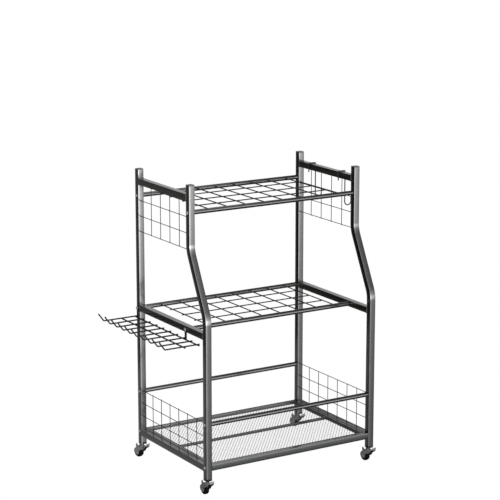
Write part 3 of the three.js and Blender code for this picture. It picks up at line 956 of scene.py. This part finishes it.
def tab(form, y, inner_wire, top):
    """A flat tab from the bolt down to the wires, turned in under them and rounded at its top."""
    width, thick = RACK_TAB
    low, high = box("hook_rack")
    outer = high.x - thick
    foot = low.z + thick / 2
    rounding = width / 2
    stem = outer + thick / 2
    profile = [(inner_wire, foot), (stem, foot), (stem, top - rounding)]
    line = bent_line([(x, y, z) for x, z in profile], (TAB_BEND_RADIUS,), 6)
    form.sweep(line, oblong_section(thick, width, TAB_CORNER), (0, 0, 1))
    outline = []
    for k in range(TAB_ARC_STEPS + 1):
        a = math.pi * k / TAB_ARC_STEPS
        outline.append((y + rounding * math.cos(a), top - rounding + rounding * math.sin(a)))
    outline += [(y - rounding, top - width), (y + rounding, top - width)]
    form.loft([[Vector((x, a, b)) for a, b in outline] for x in (outer, high.x)])


def hook_rack():
    """Prongs that turn up at their tips, on two cross wires, held by two tabs."""
    low, high = box("hook_rack")
    post = middle("rear_post_left")
    wire_height = middle("mid_rail_left").z - RACK_DROP
    inner_wire = post.x - RACK_INSET
    tip = inner_wire - RACK_REACH
    lower = wire_height - RACK_STACK
    section = round_section(RACK_WIRE, 16)
    crosses = [inner_wire, inner_wire - RACK_MID_REACH]
    form = Form()
    for i in range(RACK_PRONGS):
        y = post.y - i * RACK_PITCH
        line = bent_line([
            (inner_wire + RACK_OVERRUN, y, wire_height),
            (tip, y, wire_height),
            (tip - RACK_TIP[0], y, wire_height + RACK_TIP[1]),
        ], (RACK_BEND_RADIUS,), 12)
        form.sweep(line, section, (0, 1, 0), wire_tips(RACK_WIRE))
        for x in crosses:
            form.blob((x, y, (wire_height + lower) / 2), RACK_WELD)
    for x in crosses:
        rod(form, (x, low.y, lower), (x, high.y, lower), RACK_WIRE)
    for y in (post.y, middle("mid_shelf_front_bar").y):
        tab(form, y, inner_wire, high.z)
    add_piece("hook_rack", form, "frame", [WIRE_COAT])


def s_hook(end):
    """A hook over the right top rail, short at its inner side and with an open mouth outside."""
    node = f"s_hook_{end}"
    low, high = box(node)
    half = HOOK_WIRE / 2
    y = (low.y + high.y) / 2
    top = high.z - half
    bottom = low.z + half
    inner = low.x + half
    tip = high.x - half
    outer = tip - 2 * HOOK_MOUTH_RADIUS
    corners = [
        (inner, y, top - HOOK_BACK_LENGTH),
        (inner, y, top),
        (outer, y, top),
        (outer, y, bottom),
        (tip, y, bottom),
        (tip, y, bottom + HOOK_MOUTH_RADIUS + HOOK_FRONT_RISE),
    ]
    radii = (HOOK_BEND_RADIUS, HOOK_BEND_RADIUS, HOOK_MOUTH_RADIUS, HOOK_MOUTH_RADIUS)
    form = Form()
    form.sweep(bent_line(corners, radii, 12), round_section(HOOK_WIRE, 18), (0, 1, 0),
               wire_tips(HOOK_WIRE))
    add_piece(node, form, f"{end}_hook", [WIRE_COAT])


# Casters, built about a stem at the origin on the floor and then turned and moved into place


def caster_place(end, side):
    """Carries a caster under its post, turned to its heading."""
    place = middle(f"rear_post_{side}")
    if end == "front":
        place.y = box(f"front_post_{side}")[0].y + POST_SIZE / 2
    turn = Matrix.Rotation(math.radians(HEADINGS[f"{end}_{side}"]), 4, "Z")
    return Matrix.Translation((place.x, place.y, 0)) @ turn


def leg_span(z):
    """Where a fork leg starts and ends at a height above its outline rows."""
    foot, back, front = LEG_ROWS[-1]
    share = (z - foot) / (CROWN_TOP - foot)
    return back + (FORK_BACK - back) * share ** FORK_BACK_CURVE, front


def fork_rows():
    """Rows of the pressed sheet from one leg's foot over the crown to the other's foot."""
    shoulder = CROWN_TOP - FORK_FILLET
    rows = [(FORK_HALF, z, back, front) for z, back, front in LEG_ROWS]
    rows.append((FORK_HALF, shoulder, *leg_span(shoulder)))
    for k in range(1, FILLET_STEPS + 1):
        a = math.pi / 2 * k / FILLET_STEPS
        y = FORK_HALF - FORK_FILLET + FORK_FILLET * math.cos(a)
        z = shoulder + FORK_FILLET * math.sin(a)
        rows.append((y, z, *leg_span(z)))
    over = [(-y, z, back, front) for y, z, back, front in reversed(rows)]
    return rows + over


def fork_skin(inset):
    """The fork's outer skin, or its inner one at an inset, as a loop of points for each row."""
    shoulder = CROWN_TOP - FORK_FILLET
    skin = []
    for y, z, back, front in fork_rows():
        side = 1 if y > 0 else -1
        share = min(1, max(0, (z - shoulder) / FORK_FILLET))
        y -= side * inset * math.sqrt(1 - share ** 2)
        z -= inset * share
        columns = [back + (front - back) * c / FORK_COLUMNS for c in range(FORK_COLUMNS + 1)]
        skin.append([Vector((x, y, z)) for x in columns])
    return skin


def fork_sheet(form):
    """The U-shaped pressed fork, as an outer and an inner skin joined round their edges."""
    skins = zip(fork_skin(0), fork_skin(PLATE))
    form.loft([outer + list(reversed(inner)) for outer, inner in skins])


def ears(form):
    """A horn at the back of each leg, risen above the crown."""
    for direction in (-1, 1):
        form.slab(EAR, PLATE / 2, direction * (FORK_HALF - PLATE / 2 - EAR_INSET))


def fork(end, side):
    """A pressed fork with its ball race, stem and axle nuts."""
    form = Form()
    fork_sheet(form)
    ears(form)
    form.tone = 1
    form.lathe(rounds(RACE, CROWN_TOP), (0, 0, 0), (0, 0, 1), 40)
    form.tone = 0
    form.lathe(rounds(STEM, CROWN_TOP), (0, 0, 0), (0, 0, 1), 36)
    form.tone = 1
    for direction in (-1, 1):
        form.lathe(rounds(AXLE_NUT), (-TRAIL, 0, AXLE_HEIGHT), (0, direction, 0), 28)
    form.moved(caster_place(end, side))
    add_piece(f"fork_{end}_{side}", form, f"swivel_{end}_{side}", [ZINC, BOLT], FORK_BEVEL)


def wheel(end, side):
    """A rubber tread on a plastic hub with a shallow dish in each side."""
    flank = HUB_PROFILE + TREAD_PROFILE
    near = [(radius, drop - WHEEL_HALF) for radius, drop in flank]
    far = [(radius, WHEEL_HALF - drop) for radius, drop in reversed(flank)]
    hub = [1] * len(HUB_PROFILE)
    tones = hub + [0] * (2 * len(TREAD_PROFILE)) + hub
    angles = [2 * math.pi * i / WHEEL_SEGMENTS for i in range(WHEEL_SEGMENTS)]
    form = Form()
    indices = []
    for radius, y in near + [(WHEEL_RADIUS, 0)] + far:
        loop = [Vector((radius * math.cos(a), y, radius * math.sin(a))) for a in angles]
        indices.append(form.ring(loop))
    for first, second, tone in zip(indices, indices[1:], tones):
        form.tone = tone
        form.bridge(first, second)
    form.tone = 1
    form.bridge(indices[-1], indices[0])
    form.moved(caster_place(end, side) @ Matrix.Translation((-TRAIL, 0, AXLE_HEIGHT)))
    add_piece(f"wheel_{end}_{side}", form, f"roller_{end}_{side}", [RUBBER, HUB])


def brake(end, side):
    """A bright pressed pedal over a lever and pad in black plastic, dark as painted shade under the
    pedal, on a pin through the fork.
    """
    form = Form()
    # The lever and pad take the black hub plastic as painted shade under the pedal
    form.tone = 1
    form.slab(LEVER, LEVER_HALF)
    form.slab(PAD, PAD_HALF)
    form.tone = 2
    line = bent_line([(x, 0, z) for x, z in SHEET], SHEET_BENDS, 6)
    form.sweep(line, oblong_section(*SHEET_SECTION), (0, 0, 1))
    form.slab(LIP, LIP_HALF)
    for share in RIB_SHARES:
        x = RIB_START[0] + RIB_RUN[0] * share
        z = RIB_START[1] + RIB_RUN[1] * share
        rod(form, (x, -RIB_HALF, z), (x, RIB_HALF, z), RIB_WIRE, 10)
    form.tone = 0
    x, z = PIN_PLACE
    for direction in (-1, 1):
        form.lathe(rounds(PIN), (x, 0, z), (0, direction, 0), 20)
    form.moved(caster_place(end, side))
    materials = [ZINC, HUB, BOLT]
    add_piece(f"brake_{end}_{side}", form, f"pedal_{end}_{side}", materials, PEDAL_BEVEL)


def casters():
    for end, side in CORNERS:
        fork(end, side)
        wheel(end, side)
        brake(end, side)


# Stage


def floor():
    """A floor as pale as the background, seen by the camera only."""
    mesh = bpy.data.meshes.new("floor")
    reach = FLOOR_REACH
    corners = [(-reach, -reach, 0), (reach, -reach, 0), (reach, reach, 0), (-reach, reach, 0)]
    mesh.from_pydata(corners, [], [(0, 1, 2, 3)])
    plane = bpy.data.objects.new("floor", mesh)
    bpy.context.scene.collection.objects.link(plane)
    coat = Coat("pale_floor", metallic=0.0, specular=0.0)
    coat.color(coat.noise(3, 2), (0.3, 0.055), (0.7, 0.06))
    coat.shader.inputs["Roughness"].default_value = FLOOR_ROUGHNESS
    coat.shader.inputs["Emission Color"].default_value = (1, 1, 1, 1)
    coat.shader.inputs["Emission Strength"].default_value = FLOOR_GLOW
    mesh.materials.append(coat.material)
    plane.visible_glossy = False
    plane.visible_diffuse = False


def area_light(name, place, target, size, power, in_reflections):
    """A rectangular lamp that faces its target."""
    data = bpy.data.lights.new(name, "AREA")
    data.shape = "RECTANGLE"
    data.size, data.size_y = size
    data.energy = power
    light = bpy.data.objects.new(name, data)
    light.location = place
    direction = Vector(target) - Vector(place)
    light.rotation_euler = direction.to_track_quat("-Z", "Y").to_euler()
    light.visible_camera = False
    light.visible_glossy = in_reflections
    bpy.context.scene.collection.objects.link(light)


def lights():
    for name, lamp in LAMPS.items():
        area_light(name, *lamp)


def math_node(tree, operation, *values):
    """A maths node whose inputs are numbers or other nodes' outputs."""
    node = tree.nodes.new("ShaderNodeMath")
    node.operation = operation
    for socket, value in zip(node.inputs, values):
        if isinstance(value, (int, float)):
            socket.default_value = value
        else:
            tree.links.new(value, socket)
    return node.outputs["Value"]


def world():
    """White where the camera sees it. Elsewhere the bands light the object and show in its coat."""
    studio = bpy.data.worlds.new("studio")
    bpy.context.scene.world = studio
    studio.use_nodes = True
    tree = studio.node_tree
    tree.nodes.clear()
    place = tree.nodes.new("ShaderNodeTexCoord")
    split = tree.nodes.new("ShaderNodeSeparateXYZ")
    tree.links.new(place.outputs["Generated"], split.inputs["Vector"])
    back = math_node(tree, "MULTIPLY", split.outputs["Y"], -1)
    turn = math_node(tree, "ARCTAN2", split.outputs["X"], back)
    azimuth = math_node(tree, "MULTIPLY_ADD", turn, 0.5 / math.pi, 0.5)
    height = math_node(tree, "MULTIPLY_ADD", split.outputs["Z"], 0.5, 0.5)
    level = 0
    for around, upward in BANDS:
        turns = [((angle + 180) / 360, value) for angle, value in around]
        rises = [((1 + math.sin(math.radians(angle))) / 2, value) for angle, value in upward]
        sideways = ramp_node(tree, azimuth, turns)
        level = math_node(tree, "MULTIPLY_ADD", sideways, ramp_node(tree, height, rises), level)
    rays = tree.nodes.new("ShaderNodeLightPath")
    lit = tree.nodes.new("ShaderNodeBackground")
    tree.links.new(ramp_node(tree, azimuth, TINT), lit.inputs["Color"])
    tree.links.new(level, lit.inputs["Strength"])
    white = tree.nodes.new("ShaderNodeBackground")
    white.inputs["Strength"].default_value = 1.0
    white.inputs["Color"].default_value = (1, 1, 1, 1)
    mix = tree.nodes.new("ShaderNodeMixShader")
    tree.links.new(rays.outputs["Is Camera Ray"], mix.inputs[0])
    tree.links.new(lit.outputs[0], mix.inputs[1])
    tree.links.new(white.outputs[0], mix.inputs[2])
    output = tree.nodes.new("ShaderNodeOutputWorld")
    tree.links.new(mix.outputs[0], output.inputs["Surface"])


def camera():
    """The photograph's own view."""
    azimuth, elevation, roll = (math.radians(v) for v in (AZIMUTH, ELEVATION, ROLL))
    direction = Vector((
        math.sin(azimuth) * math.cos(elevation),
        -math.cos(azimuth) * math.cos(elevation),
        math.sin(elevation),
    ))
    data = bpy.data.cameras.new("camera")
    data.sensor_width = SENSOR
    data.lens = LENS
    data.shift_x, data.shift_y = SHIFT
    data.clip_end = CLIP_END
    view = bpy.data.objects.new("camera", data)
    view.location = Vector(TARGET) + direction * DISTANCE
    turn = (-direction).to_track_quat("-Z", "Y").to_matrix().to_4x4()
    view.rotation_euler = (turn @ Matrix.Rotation(roll, 4, "Z")).to_euler()
    bpy.context.scene.collection.objects.link(view)
    bpy.context.scene.camera = view


def exposure():
    """Plain sRGB, so that white stays white."""
    settings = bpy.context.scene.view_settings
    settings.view_transform = "Standard"
    settings.look = "None"
    settings.exposure = 0
    settings.gamma = 1


camera()
side_frames()
shelves()
tray()
bolts()
hook_rack()
for hook_end in ("rear", "front"):
    s_hook(hook_end)
casters()
floor()
lights()
world()
exposure()
